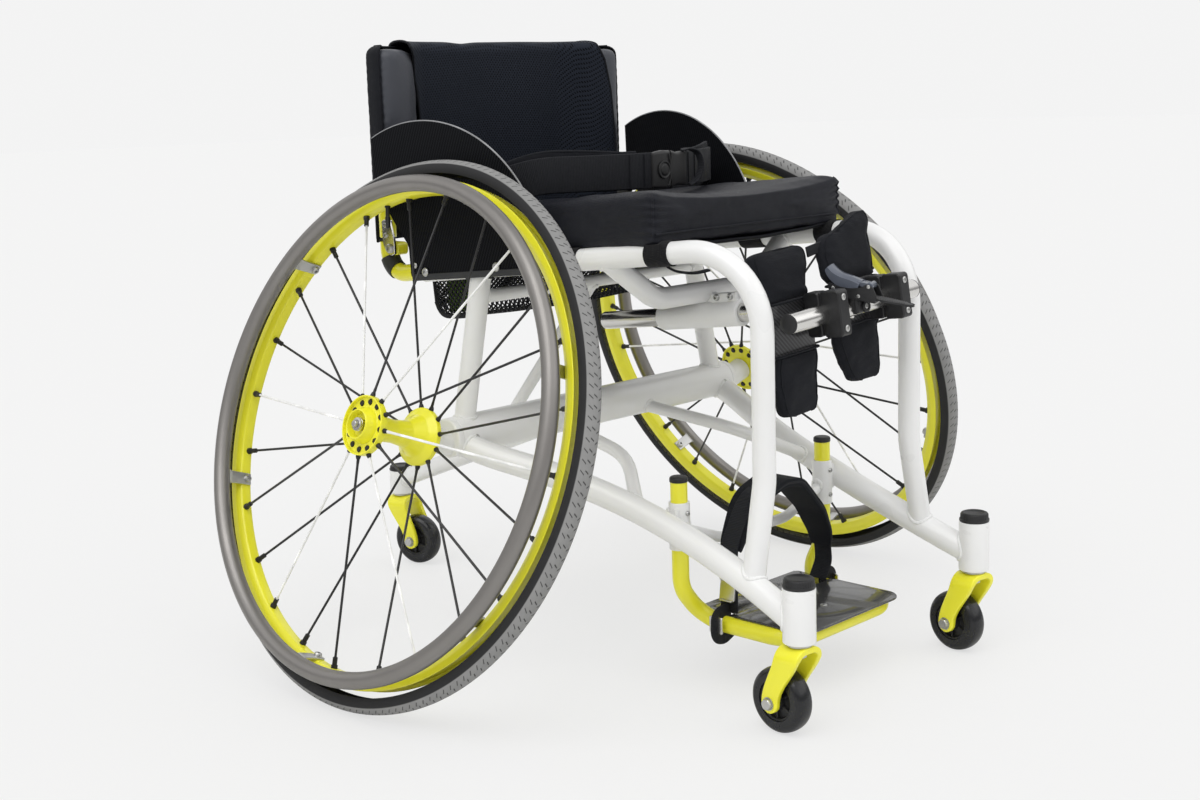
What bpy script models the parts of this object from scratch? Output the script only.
"""A court wheelchair for tennis: a welded tube frame on two steeply cambered wheels, two front casters,
one rear anti-tip caster, a footrest, a shin support and an upholstered seat.

Metres. +Z is up, -Y is the way the chair drives, and +X is the sitter's left. The floor is at z = 0.
Measures along Y are taken from the main axle, and the empty "chair" puts the origin under the middle
of the chair's footprint. Names with right_ are at -X, names with left_ are at +X.
"""

import math

import bmesh
import bpy
from mathutils import Matrix, Vector

# Fits shared by the whole chair.
GAP = 0.0003
CUT_REACH = 0.0100
WELD_BITE = 0.0006
AXLE_BEHIND_MIDDLE = 0.01935

# Main wheels.
WHEEL_RADIUS = 0.320
TYRE_RADIUS = 0.0124
CAMBER = math.radians(18.73)
WHEEL_X = 0.3347
AXLE_CROSSING_X = 0.2695
TYRE_ABOVE_RIM = 0.0253
RIM_HEIGHT = 0.0157
RIM_EDGE_RADIUS = WHEEL_RADIUS - TYRE_ABOVE_RIM
RIM_INNER_RADIUS = RIM_EDGE_RADIUS - RIM_HEIGHT
RIM_SHOULDER = 0.0075
RIM_HALF_WIDTH = 0.0108
RIM_INNER_HALF_WIDTH = 0.0065
RIM_LIP = 0.0020
RIM_BED_DEPTH = 0.0047
WHEEL_SIDES = 40
HUB_SIDES = 20

# Hubs and spokes.
HUB_FLANGE_RADIUS = 0.0345
HUB_FLANGE_THICKNESS = 0.006
HUB_OUTER_FLANGE = 0.0395
HUB_INNER_FLANGE = 0.0416
HUB_BARREL_RADIUS = 0.0135
HUB_END_RADIUS = 0.0175
HUB_OUTER_END = 0.0050
HUB_NECK = 0.0080
SPOKE_COUNT = 24
SPOKE_RADIUS = 0.0014
SPOKE_ROOT = 0.0045
SPOKE_SPREAD = 0.0020
SPOKE_TURN = math.radians(3.0)

# Pushrims.
PUSHRIM_ABOVE_RIM = 0.0050
PUSHRIM_RADIUS = RIM_INNER_RADIUS + PUSHRIM_ABOVE_RIM
PUSHRIM_TUBE_RADIUS = 0.0098
PUSHRIM_OFFSET = 0.0330
TAB_COUNT = 6
TAB_WIDTH = 0.017
TAB_THICKNESS = 0.0024
TAB_REACH = 0.0050
TAB_TURN = math.radians(10.5)

# Quick-release axles.
AXLE_RADIUS = 0.0062
AXLE_LENGTH_INSIDE = 0.0980
AXLE_END_ROOM = 0.0020
AXLE_HEAD_RADIUS = 0.0120
AXLE_HEAD_THICKNESS = 0.0050
BUTTON_RADIUS = 0.0042
BUTTON_PROUD = 0.0045
BUTTON_DEPTH = 0.0090

# Frame tubes, as outside radii.
CAMBER_TUBE_RADIUS = 0.0235
CAMBER_TUBE_WALL = 0.0020
CAMBER_TUBE_HALF = 0.2460
LOWER_RAIL_RADIUS = 0.0150
SIDE_TUBE_RADIUS = 0.0128
STRUT_RADIUS = 0.0127
DIP_TUBE_RADIUS = 0.0127
REAR_CROSS_RADIUS = 0.0080
BRACE_RADIUS = 0.0080
FRONT_CROSS_RADIUS = 0.0063
RECEIVER_RADIUS = 0.0122
STAY_RADIUS = 0.0080
ARM_RADIUS = 0.0125
TUBE_SIDES = 12
RAIL_SPANS = 12

# Camber plugs.
PLUG_DEPTH = 0.045
PLUG_COLLAR = 0.008
PLUG_BOSS_RADIUS = 0.0155

# Casters.
CASTER_RADIUS = 0.0364
CASTER_HALF_WIDTH = 0.0120
CASTER_TRAIL = 0.0254
CASTER_DISH = 0.0040
CASTER_HUB_PROUD = 0.0015
CASTER_HUB_RADIUS = 0.0085
CASTER_TREAD_ROOT = 0.0225
CASTER_SHOULDER = 0.0050
CASTER_X = 0.1696
CASTER_Y = -0.4550
REAR_CASTER_Y = 0.4145
RIGHT_CASTER_YAW = -0.072
LEFT_CASTER_YAW = -0.134
REAR_CASTER_YAW = math.pi + 0.232
CASTER_AXLE_RADIUS = 0.0040
FORK_INSIDE = 0.0145
FORK_WALL = 0.0070
FORK_BOLT_HEAD = 0.0050
FORK_HEIGHT = 0.0657
FORK_BOLT_RADIUS = 0.0065
FORK_EYE_RADIUS = 0.0110
CROWN_THICKNESS = 0.0130
CROWN_AHEAD = 0.0150
CROWN_BEHIND = 0.0170
CROWN_CORNER = 0.0060
STEM_BOLT_RADIUS = 0.0080
STEM_BOLT_DROP = 0.0060
STEM_END_ROOM = 0.0040
HEAD_CROWN = 0.0020
STEM_RADIUS = 0.0060
HEAD_RADIUS = 0.0178
HEAD_HEIGHT = 0.0592
REAR_HEAD_HEIGHT = 0.0340
WASHER_THICKNESS = 0.0027
WASHER_RADIUS = 0.0135
CAP_RADIUS = 0.0165
CAP_HEIGHT = 0.0110
CAP_EDGE = 0.0025
REAR_CAP_HEIGHT = 0.0075

# Seat tubes.
SEAT_FRONT_X = 0.1370
SEAT_FRONT_Y = -0.3850
SEAT_FRONT_Z = 0.5135
SEAT_SLOPE = 0.0922
SEAT_TAPER = 0.1300
SEAT_REAR_Y = 0.0900
CORNER_BEND = 0.083
UPRIGHT_SPLAY_Z = 0.2600
SPLAY_BEND = 0.060
UPRIGHT_AT = 0.918
BRACE_AT = 0.655
BRACE_ROOT_X = 0.0730
BRACE_BEND = 0.12
POST_SOCKET_Y = 0.030
STRUT_FOOT_X = 0.2265
STAY_FOOT_Y = 0.207
REAR_CROSS_DROP = 0.0350
DIP_Y = -0.1900
DIP_Z = 0.4407
DIP_HALF_FLAT = 0.0900
DIP_BEND = 0.045

# Footrest.
RECEIVER_AT = 0.7200
RECEIVER_ABOVE = 0.0210
RECEIVER_BELOW = 0.0340
FOOT_TUBE_RADIUS = 0.0098
FOOT_TUBE_ABOVE = 0.0260
FOOT_TUBE_Z = 0.0712
FOOT_HALF_WIDTH = 0.0950
FOOT_FRONT_Y = -0.3895
FOOT_BEND = 0.035
FOOT_TOP_BEND = 0.040
FOOT_CAP_HEIGHT = 0.0040
FOOT_SPLAY_Z = 0.1180
CROSS_SAG = 0.0280
CROSS_HALF_FLAT = 0.0600
CROSS_BEND = 0.0600
CROSS_BELOW_MIDDLE = 0.0030
FOOT_BEND_STEP = math.radians(30)
PLATE_THICKNESS = 0.0020
PLATE_FRONT_Y = -0.4080
PLATE_REAR_Y = -0.2460
PLATE_CORNER = 0.0240
PLATE_NOTCH = 0.0120
FOOT_STRAP_Y = -0.2900
FOOT_STRAP_WIDTH = 0.0250
FOOT_STRAP_THICKNESS = 0.0026
FOOT_STRAP_HEIGHT = 0.1290
CAM_X = -0.0866
CAM_HEIGHT = 0.0400
CAM_LEAN = math.radians(8.0)
CAM_EYE_RADIUS = 0.0040
CAM_HALF_WIDTH = 0.0110
CAM_LENGTH = 0.0250

# Shin support. Its own frame has X along the cross bar, Y back along the stem, and the bar's middle at 0.
STEM_TUBE_RADIUS = 0.0111
STEM_LENGTH = 0.3810
STEM_REACH = 0.2120
STEM_TILT = math.radians(6.4)
BAR_ROLL = math.radians(3.3)
SLEEVE_RADIUS = 0.0159
SLEEVE_BEHIND = 0.0700
SLEEVE_AHEAD = 0.0570
EAR_HALF_WIDTH = 0.0070
EAR_START = 0.0010
EAR_LENGTH = 0.0440
EAR_DROP = 0.0080
EAR_BITE = 0.0030
BAR_RIGHT = 0.1125
BAR_LEFT = 0.1225
CLAMP_WIDTH = 0.0180
CLAMP_AHEAD = 0.0256
CLAMP_BEHIND = 0.0218
CLAMP_HEIGHT = 0.0510
CLAMP_CORNER = 0.0060
RIGHT_CLAMP_X = -0.0465
LEFT_CLAMP_X = 0.0700
PAD_THICKNESS = 0.0180
PAD_BULGE = 0.0050
PAD_LEAN_ABOVE = math.radians(11.0)
PAD_LEAN_BELOW = math.radians(-5.0)
PAD_SPACE = 0.0186
LADDER_WIDTH = 0.0220
LADDER_THICKNESS = 0.0026
LADDER_LENGTH = 0.0885
LADDER_START = -0.0240
LADDER_AHEAD = 0.0100
LADDER_RISE = 0.0135
LADDER_TURN = math.radians(-69.0)
LADDER_DROP = math.radians(18.0)
RATCHET_LENGTH = 0.0500
RATCHET_FOOT_HALF = 0.0110
RATCHET_FOOT_AHEAD = 0.0165
RATCHET_FOOT_BEHIND = 0.0020
RATCHET_FOOT_BELOW = 0.0080
RATCHET_FOOT_ABOVE = 0.0125
RATCHET_WALL = 0.0030
RATCHET_ROOF = 0.0066
LEVER_ABOVE = 0.0045
LEVER_X = 0.0140
LEVER_HALF_WIDTH = 0.0100
LEVER_EYE_RADIUS = 0.0040
LEVER_THICKNESS = 0.0030

# Seat, side guards and belt.
CUSHION_HALF_WIDTH = 0.1750
CUSHION_THICKNESS = 0.0550
CUSHION_FRONT_Y = -0.2680
CUSHION_REAR_Y = 0.1200
CUSHION_CORNER = 0.016
CUSHION_END_EASE = 0.008
SLING_THICKNESS = 0.0025
SLING_FRONT_Y = -0.2600
SLING_REAR_Y = 0.0800
SLING_SHORT = 0.0040
GUARD_THICKNESS = 0.0020
GUARD_CLEAR = 0.0046
GUARD_BOLTS_Y = (-0.042, 0.070)
GUARD_ARC_Y = 0.0659
GUARD_ARC_Z = 0.4684
GUARD_ARC_RADIUS = 0.1836
GUARD_SPANS = 14
GUARD_BOLT_RADIUS = 0.0055
GUARD_BOLT_HEAD = 0.0030
BAG_HALF_WIDTH = 0.1600
BAG_FRONT_Y = 0.0480
BAG_REAR_Y = 0.1250
BAG_DEPTH = 0.0700
BAG_DRAFT = 0.0060
BELT_HEIGHT = 0.0420
BELT_THICKNESS = 0.0040
BELT_CLEAR = 0.0060
BELT_END_Y = 0.0900
BUCKLE_Y = -0.1330
BUCKLE_HALF = 0.0260
BUCKLE_THICKNESS = 0.0120
BUCKLE_PROUD = 0.0020
BUCKLE_OVERLAP = 0.0040
TONGUE_LENGTH = 0.0120
TONGUE_HALF_THICKNESS = 0.0025
TONGUE_HALF_HEIGHT = 0.0150

# Backrest.
POST_RADIUS = 0.0105
POST_X = 0.1970
POST_Y = 0.1630
POST_TOP_Z = 0.7000
HINGE_Y = 0.1430
HINGE_Z = 0.4970
HINGE_PIN_RADIUS = 0.0030
HINGE_PLATE = 0.0034
HINGE_ROOM = 0.0050
HINGE_HEAD_RADIUS = 0.0060
HINGE_HEAD_HEIGHT = 0.0040
HINGE_PLATE_RISE = 0.0260
STUB_ABOVE_HINGE = 0.0070
LUG_INSET = 0.0020
BACK_BOTTOM_Z = 0.5050
BACK_TOP_Z = 0.7420
BOLSTER_BOTTOM_Z = 0.5560
BACK_OUTER_X = 0.2105
BACK_HEM = 0.0200
BACK_SHOULDER = 0.0520
BACK_EASE = 0.99
BACK_TOP_EASE = 0.955
CORNER_CLEAR_X = 0.1680
BOLSTER_FRONT_Y = 0.1360

SIDES = {"right": -1, "left": 1}


# Shapes.
def circle(radius, sides, outside=False):
    """Points of a round section. With outside, the flats lie on the true circle instead of the corners."""
    reach = radius / math.cos(math.pi / sides) if outside else radius
    turns = [(k + 0.5) * math.tau / sides for k in range(sides)]
    return [(reach * math.sin(turn), reach * math.cos(turn)) for turn in turns]


def mesh_of(name, points, faces):
    """A closed mesh, welded, with its faces pointing out and its round stretches smooth."""
    build = bmesh.new()
    corners = [build.verts.new(point) for point in points]
    for face in faces:
        build.faces.new([corners[index] for index in face])
    bmesh.ops.recalc_face_normals(build, faces=build.faces)
    mesh = bpy.data.meshes.new(name)
    build.to_mesh(mesh)
    build.free()
    mesh.shade_smooth()
    mesh.set_sharp_from_angle(angle=math.radians(38))
    return mesh


def loft(name, rings, closed=False):
    """Skins rings of equal count. A closed loft joins its last ring to its first, an open one is capped."""
    count = len(rings[0])
    points = [point for ring in rings for point in ring]
    spans = len(rings) if closed else len(rings) - 1
    faces = []
    for span in range(spans):
        here = span * count
        there = (span + 1) % len(rings) * count
        for k in range(count):
            nxt = (k + 1) % count
            faces.append((here + k, here + nxt, there + nxt, there + k))
    if not closed:
        faces.append(tuple(range(count)))
        faces.append(tuple(range(len(points) - count, len(points))))
    return mesh_of(name, points, faces)


def turned(name, profile, sides, axis="X", bored=False, outside=False):
    """A lathe piece from (along, radius) pairs. A bored one has its profile closed on itself."""
    rings = []
    for along, radius in profile:
        ring = circle(radius, sides, outside)
        rings.append([(along, u, v) if axis == "X" else (u, v, along) for u, v in ring])
    return loft(name, rings, closed=bored)


def swept(name, path, section, up=None):
    """Carries a flat section along a path. The section turns with the path, or keeps one edge to up."""
    path = [Vector(point) for point in path]
    rings = []
    side = None
    for index, point in enumerate(path):
        before = path[max(index - 1, 0)]
        after = path[min(index + 1, len(path) - 1)]
        tangent = (after - before).normalized()
        if up is not None:
            side = tangent.cross(Vector(up)).normalized()
        elif side is None:
            spare = Vector((1, 0, 0)) if abs(tangent.x) < 0.7 else Vector((0, 1, 0))
            side = tangent.cross(spare).normalized()
        else:
            side = (side - tangent * side.dot(tangent)).normalized()
        top = side.cross(tangent)
        rings.append([point + side * u + top * v for u, v in section])
    return loft(name, rings)


def rod(name, start, end, radius, sides=12, outside=False):
    return swept(name, [start, end], circle(radius, sides, outside))


def block(name, low, high):
    """A box between two corners."""
    (x0, y0, z0), (x1, y1, z1) = low, high
    rings = [[(x, y0, z0), (x, y1, z0), (x, y1, z1), (x, y0, z1)] for x in (x0, x1)]
    return loft(name, rings)


def rounded(points, radii, step=math.radians(18)):
    """A path with each inner corner replaced by an arc of its radius."""
    points = [Vector(point) for point in points]
    path = [points[0]]
    for index, radius in enumerate(radii, start=1):
        corner = points[index]
        back = (points[index - 1] - corner).normalized()
        ahead = (points[index + 1] - corner).normalized()
        half = back.angle(ahead) / 2
        turn = math.pi - 2 * half
        centre = corner + (back + ahead).normalized() * (radius / math.sin(half))
        start = corner + back * (radius / math.tan(half)) - centre
        axis = back.cross(ahead).normalized()
        count = max(2, round(turn / step))
        for k in range(count + 1):
            path.append(centre + Matrix.Rotation(-turn * k / count, 3, axis) @ start)
    path.append(points[-1])
    return path


def bezier(controls, at):
    a, b, c, d = (Vector(control) for control in controls)
    rest = 1 - at
    return a * rest**3 + b * (3 * rest**2 * at) + c * (3 * rest * at**2) + d * at**3


def rounded_outline(x0, x1, y0, y1, corner):
    """A rectangle with its corners rounded, counted from its far corner."""
    points = []
    for index, (x, y) in enumerate([(x1, y1), (x0, y1), (x0, y0), (x1, y0)]):
        centre_x = x - corner if x == x1 else x + corner
        centre_y = y - corner if y == y1 else y + corner
        for part in range(3):
            turn = math.radians(45 * part) + index * math.pi / 2
            points.append((centre_x + corner * math.cos(turn), centre_y + corner * math.sin(turn)))
    return points


def outline_plate(name, outline, low, high):
    """A plate with an outline in X and Y, between two heights."""
    return loft(name, [[(x, y, z) for x, y in outline] for z in (low, high)])


# Objects.
def material(name, colour, roughness, metallic=0.0):
    made = bpy.data.materials.new(name)
    made.use_nodes = True
    shader = made.node_tree.nodes["Principled BSDF"]
    shader.inputs["Base Color"].default_value = (*colour, 1.0)
    shader.inputs["Roughness"].default_value = roughness
    shader.inputs["Metallic"].default_value = metallic
    return made


def empty(name, parent=None, matrix=None):
    """A joint's place: the pieces parented to it turn or slide with it."""
    made = bpy.data.objects.new(name, None)
    bpy.context.scene.collection.objects.link(made)
    made.parent = parent
    if matrix is not None:
        made.matrix_local = matrix
    return made


def piece(name, mesh, finish, parent):
    made = bpy.data.objects.new(name, mesh)
    bpy.context.scene.collection.objects.link(made)
    made.parent = parent
    if finish and not mesh.materials:
        mesh.materials.append(finish)
    return made


def tool(name, mesh, parent):
    """A shape that only cuts or joins: it isn't a piece of the chair."""
    made = piece(name, mesh, None, parent)
    made.hide_render = True
    made.display_type = "WIRE"
    return made


def boolean(target, other, operation):
    modifier = target.modifiers.new(other.name, "BOOLEAN")
    modifier.operation = operation
    modifier.solver = "EXACT"
    modifier.object = other


def join(target, *others):
    for other in others:
        boolean(target, other, "UNION")


def cut(target, *others):
    for other in others:
        boolean(target, other, "DIFFERENCE")


# Start from an empty scene.
for leftover in list(bpy.data.objects):
    bpy.data.objects.remove(leftover, do_unlink=True)

WHITE = material("white_paint", (0.86, 0.86, 0.85), 0.22)
YELLOW = material("yellow_anodised", (0.83, 0.74, 0.03), 0.30, 0.3)
STEEL = material("polished_steel", (0.78, 0.78, 0.77), 0.18, 1.0)
GREY = material("grey_anodised", (0.20, 0.20, 0.21), 0.35, 0.9)
BLACK = material("black_plastic", (0.020, 0.020, 0.022), 0.45)
RUBBER = material("tyre_rubber", (0.10, 0.10, 0.105), 0.75)
CARBON = material("carbon_plate", (0.015, 0.015, 0.017), 0.25)
FABRIC = material("black_fabric", (0.016, 0.016, 0.018), 0.85)
URETHANE = material("caster_urethane", (0.05, 0.05, 0.055), 0.5)

chair = empty("chair", matrix=Matrix.Translation((0, AXLE_BEHIND_MIDDLE, 0)))

# Main wheels: the tyre stands on the floor, and the axle meets the camber tube at AXLE_CROSSING_X.
TYRE_CENTRE_RADIUS = WHEEL_RADIUS - TYRE_RADIUS
WHEEL_Z = TYRE_CENTRE_RADIUS * math.cos(CAMBER) + TYRE_RADIUS
CAMBER_TUBE_Z = WHEEL_Z - (WHEEL_X - AXLE_CROSSING_X) * math.tan(CAMBER)
RIM_BED_RADIUS = RIM_EDGE_RADIUS - RIM_BED_DEPTH
HUB_START = -(HUB_INNER_FLANGE + HUB_FLANGE_THICKNESS / 2)
HUB_END = HUB_OUTER_FLANGE + HUB_FLANGE_THICKNESS / 2 + HUB_OUTER_END


def axle_frame(side):
    """The wheel's own frame: X out along the axle, Z up in the plane of the wheel."""
    turn = 0.0 if side > 0 else math.pi
    lean = Matrix.Rotation(-CAMBER, 4, "Y")
    return Matrix.Translation((side * WHEEL_X, 0, WHEEL_Z)) @ Matrix.Rotation(turn, 4, "Z") @ lean


def tyre_mesh():
    """A narrow clincher tyre whose foot sits between the rim's two lips."""
    half_foot = RIM_HALF_WIDTH - RIM_LIP - GAP
    turns = [math.radians(turn) for turn in (-105, -62, -18.7, 18.7, 62, 105)]
    profile = [(TYRE_RADIUS * math.sin(t), TYRE_CENTRE_RADIUS + TYRE_RADIUS * math.cos(t)) for t in turns]
    profile += [(half_foot, RIM_EDGE_RADIUS + GAP), (half_foot, RIM_BED_RADIUS + GAP)]
    profile += [(-half_foot, RIM_BED_RADIUS + GAP), (-half_foot, RIM_EDGE_RADIUS + GAP)]
    return turned("tyre", profile, WHEEL_SIDES, bored=True, outside=True)


def rim_mesh():
    """A box-section rim with a bed for the tyre."""
    lip = RIM_HALF_WIDTH - RIM_LIP
    half = [
        (RIM_INNER_HALF_WIDTH, RIM_INNER_RADIUS),
        (RIM_HALF_WIDTH, RIM_INNER_RADIUS + RIM_SHOULDER),
        (RIM_HALF_WIDTH, RIM_EDGE_RADIUS),
        (lip, RIM_EDGE_RADIUS),
        (lip, RIM_BED_RADIUS),
    ]
    profile = half + [(-x, r) for x, r in reversed(half)]
    return turned("rim", profile, WHEEL_SIDES, bored=True, outside=True)


def hub_mesh():
    """A waisted barrel between two spoke flanges, bored for the axle."""
    inner = -HUB_INNER_FLANGE + HUB_FLANGE_THICKNESS / 2
    outer = HUB_OUTER_FLANGE - HUB_FLANGE_THICKNESS / 2
    profile = [
        (HUB_START, AXLE_RADIUS + GAP),
        (HUB_START, HUB_FLANGE_RADIUS),
        (inner, HUB_FLANGE_RADIUS),
        (inner + HUB_NECK, HUB_END_RADIUS),
        (0.0, HUB_BARREL_RADIUS),
        (outer - HUB_NECK, HUB_END_RADIUS),
        (outer, HUB_FLANGE_RADIUS),
        (outer + HUB_FLANGE_THICKNESS, HUB_FLANGE_RADIUS),
        (outer + HUB_FLANGE_THICKNESS, HUB_END_RADIUS),
        (HUB_END, HUB_END_RADIUS),
        (HUB_END, AXLE_RADIUS + GAP),
    ]
    return turned("hub", profile, HUB_SIDES, bored=True, outside=True)


def spoke_meshes():
    """Straight radial spokes, to the outer and the inner flange in turn."""
    meshes = []
    for index in range(SPOKE_COUNT):
        turn = SPOKE_TURN + index * math.tau / SPOKE_COUNT
        flange = HUB_OUTER_FLANGE if index % 2 == 0 else -HUB_INNER_FLANGE
        spread = math.copysign(SPOKE_SPREAD, flange)
        ray = Vector((0, math.sin(turn), math.cos(turn)))
        root = ray * (HUB_FLANGE_RADIUS - SPOKE_ROOT) + Vector((flange, 0, 0))
        tip = ray * (RIM_INNER_RADIUS - 2 * GAP) + Vector((spread, 0, 0))
        meshes.append(rod(f"spoke_{index}", root, tip, SPOKE_RADIUS, sides=6))
    return meshes


def pushrim_mesh():
    section = circle(PUSHRIM_TUBE_RADIUS, 8, outside=True)
    profile = [(PUSHRIM_OFFSET + u, PUSHRIM_RADIUS + v) for u, v in section]
    return turned("pushrim", profile, WHEEL_SIDES, bored=True, outside=True)


def tab_mesh(turn):
    """A flat lug from under the rim out to the pushrim."""
    top = RIM_INNER_RADIUS - GAP
    low = (-TAB_REACH, -TAB_WIDTH / 2, top - TAB_THICKNESS)
    high = (PUSHRIM_OFFSET - PUSHRIM_TUBE_RADIUS / 2, TAB_WIDTH / 2, top)
    mesh = block("tab", low, high)
    mesh.transform(Matrix.Rotation(-turn, 4, "X"))
    return mesh


def axle_mesh():
    """The pin, its round head, and the blind hole that the release button runs in."""
    head = HUB_END + GAP
    profile = [
        (-AXLE_LENGTH_INSIDE, AXLE_RADIUS),
        (head, AXLE_RADIUS),
        (head, AXLE_HEAD_RADIUS),
        (head + AXLE_HEAD_THICKNESS, AXLE_HEAD_RADIUS),
        (head + AXLE_HEAD_THICKNESS, BUTTON_RADIUS + GAP),
        (head + AXLE_HEAD_THICKNESS - BUTTON_DEPTH - BUTTON_PROUD, BUTTON_RADIUS + GAP),
    ]
    return turned("axle", profile, 12)


def button_mesh():
    face = HUB_END + GAP + AXLE_HEAD_THICKNESS
    profile = [(face - BUTTON_DEPTH, BUTTON_RADIUS), (face + BUTTON_PROUD, BUTTON_RADIUS)]
    return turned("axle_button", profile, 12)


def main_wheels():
    meshes = {"tyre": tyre_mesh(), "rim": rim_mesh(), "hub": hub_mesh(), "pushrim": pushrim_mesh()}
    finishes = {"tyre": RUBBER, "rim": YELLOW, "hub": YELLOW, "pushrim": GREY}
    spokes = spoke_meshes()
    tabs = [tab_mesh(TAB_TURN + k * math.tau / TAB_COUNT) for k in range(TAB_COUNT)]
    axle = axle_mesh()
    button = button_mesh()
    for side_name, side in SIDES.items():
        wheel = empty(f"{side_name}_wheel", chair, axle_frame(side))
        made = {}
        for part, mesh in meshes.items():
            made[part] = piece(f"{side_name}_{part}", mesh, finishes[part], wheel)
        for index, mesh in enumerate(spokes):
            join(made["hub"], tool(f"{side_name}_spoke_{index}", mesh, wheel))
        for index, mesh in enumerate(tabs):
            join(made["pushrim"], tool(f"{side_name}_tab_{index}", mesh, wheel))
        piece(f"{side_name}_axle", axle, STEEL, wheel)
        piece(f"{side_name}_axle_button", button, STEEL, wheel)


main_wheels()

# The camber tube and its plugs.
camber_centre = Vector((0, 0, CAMBER_TUBE_Z))


def along_camber_tube(half, radius):
    ends = [(-half, 0, CAMBER_TUBE_Z), (half, 0, CAMBER_TUBE_Z)]
    return rod("camber_line", *ends, radius, 20, outside=True)


def camber_tube():
    bore = CAMBER_TUBE_RADIUS - CAMBER_TUBE_WALL
    half = CAMBER_TUBE_HALF
    profile = [(-half, bore), (-half, CAMBER_TUBE_RADIUS), (half, CAMBER_TUBE_RADIUS), (half, bore)]
    tube = piece("camber_tube", turned("camber_tube", profile, 20, bored=True, outside=True), WHITE, chair)
    tube.location = camber_centre


def camber_plug(side_name, side):
    """A plug in the end of the camber tube. Its boss holds the axle at the camber angle."""
    end = side * CAMBER_TUBE_HALF
    out = Vector((side, 0, 0))
    middle = Vector((end, 0, CAMBER_TUBE_Z))
    inside = CAMBER_TUBE_RADIUS - CAMBER_TUBE_WALL - GAP
    plug = piece(
        f"{side_name}_camber_plug",
        rod("plug", middle - out * PLUG_DEPTH, middle + out * PLUG_COLLAR / 2, inside, 20, outside=True),
        STEEL,
        chair,
    )
    collar_ends = [middle + out * GAP, middle + out * PLUG_COLLAR]
    collar = rod("collar", *collar_ends, CAMBER_TUBE_RADIUS, 20, outside=True)
    wheel_frame = axle_frame(side)
    root = (WHEEL_X - CAMBER_TUBE_HALF - PLUG_COLLAR / 2) / math.cos(CAMBER)
    boss_ends = [wheel_frame @ Vector((HUB_START - GAP, 0, 0)), wheel_frame @ Vector((-root, 0, 0))]
    bore_low = -AXLE_LENGTH_INSIDE - AXLE_END_ROOM
    bore_ends = [wheel_frame @ Vector((HUB_START, 0, 0)), wheel_frame @ Vector((bore_low, 0, 0))]
    boss = rod("boss", *boss_ends, PLUG_BOSS_RADIUS, 16, outside=True)
    bore = rod("bore", *bore_ends, AXLE_RADIUS + GAP, 12, outside=True)
    join(plug, tool(f"{side_name}_plug_collar", collar, chair), tool(f"{side_name}_plug_boss", boss, chair))
    cut(plug, tool(f"{side_name}_plug_bore", bore, chair))


camber_tube()
for side_name, side in SIDES.items():
    camber_plug(side_name, side)
COPE_REACH = 0.014
cope_mesh = along_camber_tube(CAMBER_TUBE_HALF + COPE_REACH, CAMBER_TUBE_RADIUS + GAP)
camber_cope = tool("camber_cope", cope_mesh, chair)

# Casters: the wheel stands on the floor and sets the height of its fork and of its head.
CROWN_TOP = CASTER_RADIUS + FORK_HEIGHT
HEAD_BOTTOM = CROWN_TOP + GAP + WASHER_THICKNESS + GAP
STEM_TOP_FRONT = HEAD_BOTTOM + HEAD_HEIGHT - STEM_END_ROOM
STEM_TOP_REAR = HEAD_BOTTOM + REAR_HEAD_HEIGHT - STEM_END_ROOM


def leg_outline():
    """A fork leg seen from its side: a round eye at the axle, widening up to the crown."""
    eye = FORK_EYE_RADIUS
    top = CROWN_TOP - CROWN_THICKNESS / 2
    turns = [math.radians(turn) for turn in range(200, 341, 28)]
    points = [(CASTER_TRAIL + eye * math.cos(t), CASTER_RADIUS + eye * math.sin(t)) for t in turns]
    return points + [(CASTER_TRAIL + eye, CASTER_RADIUS + eye / 2), (CROWN_BEHIND, top), (-CROWN_AHEAD, top)]


def leg_mesh(side):
    inner = side * FORK_INSIDE
    outer = side * (FORK_INSIDE + FORK_WALL)
    return loft("leg", [[(x, y, z) for y, z in leg_outline()] for x in (inner, outer)])


def crown_outline():
    half_width = FORK_INSIDE + FORK_WALL
    return rounded_outline(-half_width, half_width, -CROWN_AHEAD, CROWN_BEHIND, CROWN_CORNER)


def fork(name, parent, stem_top):
    """A yellow fork with its stem, its washer and its axle bolt."""
    crown = outline_plate("crown", crown_outline(), CROWN_TOP - CROWN_THICKNESS, CROWN_TOP)
    made = piece(f"{name}_fork", crown, YELLOW, parent)
    join(made, tool(f"{name}_leg_a", leg_mesh(-1), parent), tool(f"{name}_leg_b", leg_mesh(1), parent))
    middle = CROWN_TOP - CROWN_THICKNESS / 2
    washer_top = CROWN_TOP + GAP + WASHER_THICKNESS
    stem_profile = [
        (CROWN_TOP - CROWN_THICKNESS - STEM_BOLT_DROP, STEM_BOLT_RADIUS),
        (middle, STEM_BOLT_RADIUS),
        (middle, WASHER_RADIUS),
        (washer_top, WASHER_RADIUS),
        (washer_top, STEM_RADIUS),
        (stem_top, STEM_RADIUS),
    ]
    stem = turned("stem", stem_profile, 12, axis="Z")
    outside = FORK_INSIDE + FORK_WALL + FORK_BOLT_HEAD
    inside = FORK_INSIDE + FORK_WALL / 2
    bolt_profile = [
        (-outside, FORK_BOLT_RADIUS),
        (-inside, FORK_BOLT_RADIUS),
        (-inside, CASTER_AXLE_RADIUS),
        (inside, CASTER_AXLE_RADIUS),
        (inside, FORK_BOLT_RADIUS),
        (outside, FORK_BOLT_RADIUS),
    ]
    bolt = turned("fork_bolt", bolt_profile, 12)
    bolt.transform(Matrix.Translation((0, CASTER_TRAIL, CASTER_RADIUS)))
    join(made, tool(f"{name}_stem", stem, parent), tool(f"{name}_bolt", bolt, parent))


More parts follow.
